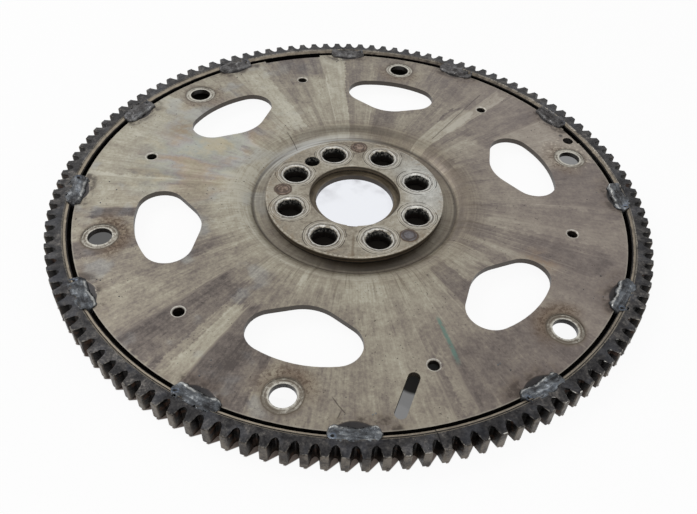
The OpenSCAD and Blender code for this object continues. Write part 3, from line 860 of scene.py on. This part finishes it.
levels = [(EDGE_BEVEL, CHIP_ROOM), (0.0, EDGE_BEVEL), (0.0, RING_TOP - TOP_BEVEL),
          (0.08, RING_TOP - 0.4 * TOP_BEVEL), (0.25, RING_TOP)]
rows = [[(r, a, z) for r, a in shrunk(outline, inset)] for inset, z in levels]
angles = [a for _, a in outline]
rows.append([(INNER_R + RING_BEVEL, a, RING_TOP) for a in angles])
rows.append([(INNER_R, a, RING_TOP - RING_BEVEL) for a in angles])
rows.append([(BORE_R, a, RING_TOP - RING_BEVEL - SHOULDER_FALL) for a in angles])
rows.append([(BORE_R, a, CHIP_ROOM) for a in angles])
BEVEL_ROWS = (0, 3, 5)

width = len(outline)
points = [(r * cos(a) * MM, r * sin(a) * MM, z * MM) for row in rows for r, a, z in row]
faces, wear = [], []
for j in range(len(rows)):
    k = (j + 1) % len(rows)
    for i in range(width - 1):
        faces.append((j * width + i, j * width + i + 1, k * width + i + 1, k * width + i))
        wear.append(1.0 if j in BEVEL_ROWS else 0.0)
tooth_blank = bpy.data.meshes.new("tooth_space")
tooth_blank.from_pydata(points, [], faces)
tooth_blank.attributes.new("edge_wear", "FLOAT", "FACE").data.foreach_set("value", wear)
print("one tooth space:", len(faces), "faces")

# %% Turn it round the axis
tree, given = new_tree("ring_of_teeth", {
    "Teeth": "Int", "First": "Float", "Chips": "Float", "Finish": "Material"})
dots = given["Teeth"].node("GeometryNodePoints", None, {"Count": given["Teeth"]})
number = dots.node("GeometryNodeInputIndex")
turn = (number + 0.5) / given["Teeth"] * (2 * pi) + given["First"]
shape = copies_at(dots, given["Geometry"], Rotation=vector(turn, z=turn))
shape = shape.node("GeometryNodeMergeByDistance", None, {"Geometry": shape, "Distance": 0.01 * MM})
spot = shape.node("GeometryNodeInputPosition")
shape = move(shape, Offset=shake(spot, 700.0, given["Chips"]))
end_tree(tree, shape, given["Finish"])
ring_gear = grow("ring_gear_teeth", tooth_blank, tree, {
    "Teeth": TEETH, "First": radians(FIRST_TOOTH), "Chips": 0.1 * MM, "Finish": gear_finish})
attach(ring_gear, "root")
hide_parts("ring_gear")

# %% [markdown]
# ## Weld finish
# Weld metal cools with a blue-grey skin. Its crests stay shiny. The toe on the hub side carries a
# painted highlight and the flecks painted glints, and the crater at one end and the edges are
# painted almost black as painted shade. The far beads are painted darker and the near ones
# lighter, for how the light falls. The bead's mesh carries the attributes toe, pit and rim for
# that.

# %% Weld metal
weld_finish, shader, at = begin_finish("weld_metal")
toe, pit, rim = (at.r.node("ShaderNodeAttribute", {"attribute_name": name}, out="Fac")
                 for name in ("toe", "pit", "rim"))
lump = noise(at.mm, 0.17, 3.0, 0.55)
drawn = ray_noise(at, 26.0, 0.8, 3.0)
grit = noise(at.mm, 1.5, 3.0, 0.7)
# Painted light and shade: the tone changes by side, the far beads darker and the near ones lighter.
far_side = at.y.between(-40, 90)
tone = 0.42 + (lump - 0.5) * 1.4 + (drawn - 0.5) + (grit - 0.5) * 0.35 - far_side * 0.05
tone = tone - at.ux * 0.05 + at.uy.between(-0.88, -1) * 0.12 - at.ux.between(-0.6, -0.9) * 0.05
colour = tone.ramp((0.15, srgb(28, 28, 30)), (0.4, srgb(70, 73, 77)), (0.6, srgb(100, 104, 108)),
                   (0.9, srgb(172, 173, 172)))
blue = pit.between(0.0, 0.35) * (1 - pit.between(0.35, 0.6)) * 0.6 + lump.between(0.55, 0.7) * 0.25
colour = blue.mix(colour, tone.mix(srgb(40, 48, 62), srgb(120, 136, 158)))
colour = (far_side * 0.6).mix(colour, tone.mix(srgb(42, 39, 38), srgb(116, 110, 106)))
# Painted shade along the bead's edges.
colour = (rim * lump.between(0.3, 0.55)).mix(colour, srgb(18, 17, 17))
# Painted highlights: glints on the toe and on flecks, weaker on the far side.
flecks = noise(at.mm, 1.4).between(0.66, 0.72)
glint = ((toe * lump.between(0.38, 0.52) + flecks * (0.3 + rim)) * (1 - far_side * 0.8)).smaller(1)
colour = (glint * 0.9).mix(colour, srgb(196, 196, 192))
# Painted shade: the crater near black.
colour = pit.between(0.4, 0.7).mix(colour, srgb(9, 9, 10))
rough = 0.32 + (grit - 0.5) * 0.4 - toe * 0.1
set_shader(shader, {"Base Color": colour, "Roughness": rough, "Metallic": 0.65},
           grit * 0.7 + drawn * 0.6, depth=0.2)
print("weld finish:", len(weld_finish.node_tree.nodes), "nodes")

# %% [markdown]
# ## Rim welds
# Twelve short beads join the disc to the ring gear. Each fills the gap, laps onto the ring and
# runs down into a hollow of the sheet, where its toe is arched. The arc was broken off at one
# end and left a crater there. One blank bead is turned to twelve places, and then noise makes
# each of them different.

# %% Section and plan of a bead
WELD_LENGTH, WELD_OUT = 22.6, 148.3
TOE_MIDDLE, TOE_ENDS = 139.9, 138.5
DISC_R, WELD_ROOT = 142.775, 5.5
HOLLOW_TIP, HOLLOW_SLOPE, HOLLOW_R = 137.275, 13.0, 50.0
PIT_ALONG, PIT_R, PIT_SIZE = -8.6, 145.0, 1.2


def sheet_top(r, y):
    """Height of the sheet's upper face, with the hollow under the weld."""
    return min(DISC_TOP, DISC_TOP - (r - HOLLOW_TIP) * tan(radians(HOLLOW_SLOPE)) + y * y / (2 * HOLLOW_R))


def bead_plan(u, s):
    """Distance from the axis and place along the bead: u runs along it, s from the ring to the hub."""
    toe_r = TOE_MIDDLE + (TOE_ENDS - TOE_MIDDLE) * u * u
    end = max((1 - abs(u) ** 7) ** 0.5, 0.14)
    middle = (WELD_OUT + toe_r) / 2
    r = middle + (0.5 - s) * (WELD_OUT - toe_r) * end
    return r, u * WELD_LENGTH / 2 * (1 - 0.05 * (2 * s - 1) ** 2)


def bead_foot(r, y):
    """How deep the bead goes: into the gap, or just into the steel."""
    if r < DISC_R:
        return sheet_top(r, y) - 0.15
    if r < BORE_R:
        return WELD_ROOT
    return RING_TOP - (0.2 if r > INNER_R + RING_BEVEL else 1.7)


def bead_top(u, s, r, y):
    """Height of the bead: level with the ring at one side, a rounded toe at the other."""
    toe_top = sheet_top(max(r, TOE_ENDS), y) + 0.9
    slope = RING_TOP + 0.05 + s ** 1.5 * (toe_top - RING_TOP)
    swell = 0.35 * sin(pi * min(s / 0.9, 1)) * (1 - u * u * 0.5)
    drop = max((s - 0.84) / 0.16, 0) ** 2 * 0.95 + max((abs(u) - 0.86) / 0.14, 0) ** 2 * 1.1
    crater = exp(-((y - PIT_ALONG) ** 2 + (r - PIT_R) ** 2) / PIT_SIZE ** 2)
    return slope + swell - drop - 0.9 * crater, crater


print("bead: width", round(WELD_OUT - TOE_MIDDLE, 1), "to", round(WELD_OUT - TOE_ENDS, 1), "mm")

# %% One bead
ALONG, ACROSS = 64, 24

tops, feet, marks = [], [], {"crown": [], "toe": [], "pit": [], "rim": []}
for i in range(ALONG + 1):
    for j in range(ACROSS + 1):
        u, s = 2 * i / ALONG - 1, j / ACROSS
        r, y = bead_plan(u, s)
        foot = bead_foot(r, y)
        top, crater = bead_top(u, s, r, y)
        edge = i in (0, ALONG) or j in (0, ACROSS)
        tops.append((r * MM, y * MM, (foot + 0.1 if edge else max(top, foot + 0.15)) * MM))
        feet.append((r * MM, y * MM, foot * MM))
        inside = min(1 - abs(u), (1 - abs(2 * s - 1)) * 0.4)
        marks["crown"].append(0.0 if edge else min(inside * 8, 1.0))
        marks["toe"].append(max(0.0, 1 - abs(s - 0.85) / 0.07) if abs(u) < 0.93 else 0.0)
        marks["pit"].append(crater)
        to_edge = min((1 - abs(u)) * WELD_LENGTH / 2, min(s, 1 - s) * (WELD_OUT - TOE_MIDDLE))
        marks["rim"].append(max(0.0, 1 - to_edge / 0.8))
row, count = ACROSS + 1, len(tops)
faces = []
for i in range(ALONG):
    for j in range(ACROSS):
        a, b, c, d = i * row + j, i * row + j + 1, (i + 1) * row + j + 1, (i + 1) * row + j
        faces += [(a, b, c, d), (d + count, c + count, b + count, a + count)]
border = [(0, j) for j in range(ACROSS)] + [(i, ACROSS) for i in range(ALONG)]
border += [(ALONG, j) for j in range(ACROSS, 0, -1)] + [(i, 0) for i in range(ALONG, 0, -1)]
border = [i * row + j for i, j in border]
for a, b in zip(border, border[1:] + border[:1]):
    faces.append((b, a, a + count, b + count))
weld_blank = bpy.data.meshes.new("weld_bead")
weld_blank.from_pydata(tops + feet, [], faces)
for name, values in marks.items():
    weld_blank.attributes.new(name, "FLOAT", "POINT").data.foreach_set("value", values + [0.0] * count)
print("one bead:", len(faces), "faces")

# %% Lay the beads round the rim
# How far each weld lies from its even place, in degrees
WELD_SHIFT = [-1.1, 0.1, -0.3, -0.6, 0.0, -0.4, -0.6, -1.0, 1.1, -2.7, 0.3, -0.9]

tree, given = new_tree("rim_welds", {
    "Places": "Object", "Lumps": "Float", "Ripples": "Float", "Wobble": "Float",
    "Ceiling": "Float", "Finish": "Material"})
places = given["Places"].node("GeometryNodeObjectInfo", None, {"Object": given["Places"]}, out="Geometry")
turn = vector(places, z=named_value(places, "turn"))
shape = copies_at(places, given["Geometry"], Rotation=turn)
spot = shape.node("GeometryNodeInputPosition")
lump = noise(spot, 170.0, 3.0, 0.6)
ripple = noise(spot, 620.0, 2.0, 0.6)
rise = named_value(shape, "crown") * ((lump - 0.5) * given["Lumps"] + (ripple - 0.5) * given["Ripples"])
shape = move(shape, Offset=vector(rise, z=rise))
x = spot.node("ShaderNodeSeparateXYZ", None, {0: spot})
ragged = shake(vector(x, x, x.also(1)), 260.0, given["Wobble"])
shape = move(shape, Offset=ragged)
x = shape.node("ShaderNodeSeparateXYZ", None, {0: shape.node("GeometryNodeInputPosition")})
capped = vector(x, x, x.also(1), x.also(2).smaller(given["Ceiling"]))
shape = move(shape, Position=capped)
shape = shape.node("GeometryNodeSetShadeSmooth", None, {"Geometry": shape})
end_tree(tree, shape, given["Finish"])

weld_places = bpy.data.meshes.new("weld_places")
weld_places.from_pydata([(0, 0, 0)] * len(WELD_SHIFT), [], [])
turns = [radians(30 * i + shift) for i, shift in enumerate(WELD_SHIFT)]
weld_places.attributes.new("turn", "FLOAT", "POINT").data.foreach_set("value", turns)
marker = bpy.data.objects.new("weld_places", weld_places)
rim_welds = grow("rim_welds", weld_blank, tree, {
    "Places": marker, "Lumps": 1.6 * MM, "Ripples": 0.5 * MM, "Wobble": 2.6 * MM,
    "Ceiling": cad_box[1][2], "Finish": weld_finish})
bpy.data.objects.remove(marker)
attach(rim_welds, "root")
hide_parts("ring_gear_welds")

# %% [markdown]
# ## Weld spatter
# Welding throws small drops of metal that stick to the sheet. A drop is a low dome of a few
# faces. The tree puts drops at random near each weld, with a fixed seed, so every run is alike.

# %% Drops of weld metal
DROPS, DROP_SEED = 96, 7

hexagon = [(cos(pi * k / 3), sin(pi * k / 3)) for k in range(6)]
drop_points = [(x, y, -0.2) for x, y in hexagon] + [(0.75 * x, 0.75 * y, 0.35) for x, y in hexagon]
drop_points += [(0.0, 0.0, 0.6), (0.0, 0.0, -0.2)]
drop_faces = [(k, (k + 1) % 6, 6 + (k + 1) % 6, 6 + k) for k in range(6)]
drop_faces += [(6 + k, 6 + (k + 1) % 6, 12) for k in range(6)] + [((k + 1) % 6, k, 13) for k in range(6)]
drop_blank = bpy.data.meshes.new("weld_drop")
drop_blank.from_pydata(drop_points, [], drop_faces)


def chance(seed, low, high):
    """A random number for each drop."""
    return seed.node("FunctionNodeRandomValue", {"data_type": "FLOAT"},
                     {"Min": low, "Max": high, "Seed": seed}, out=1)


tree, given = new_tree("weld_spatter", {
    "Drops": "Int", "Welds": "Int", "Seed": "Int", "Finish": "Material"})
seed = given["Seed"]
dots = given["Drops"].node("GeometryNodePoints", None, {"Count": given["Drops"]})
number = dots.node("GeometryNodeInputIndex")
turn = number.math("MODULO", given["Welds"]) / given["Welds"] * (2 * pi) + chance(seed + 1, -0.09, 0.08)
reach = chance(seed + 2, 124 * MM, 136 * MM)
place = vector(turn, reach * turn.math("COSINE"), reach * turn.math("SINE"), DISC_TOP * MM)
dots = move(dots, Position=place)
grade = chance(seed + 3, 0.25, 1.0)
radius, height = grade * grade * 0.55 * MM, grade * grade * 0.5 * MM
shape = copies_at(dots, given["Geometry"], Scale=vector(grade, radius, radius, height))
shape = shape.node("GeometryNodeSetShadeSmooth", None, {"Geometry": shape})
end_tree(tree, shape, given["Finish"])
spatter = grow("weld_spatter", drop_blank, tree, {
    "Drops": DROPS, "Welds": len(WELD_SHIFT), "Seed": DROP_SEED, "Finish": weld_finish})
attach(spatter, "root")
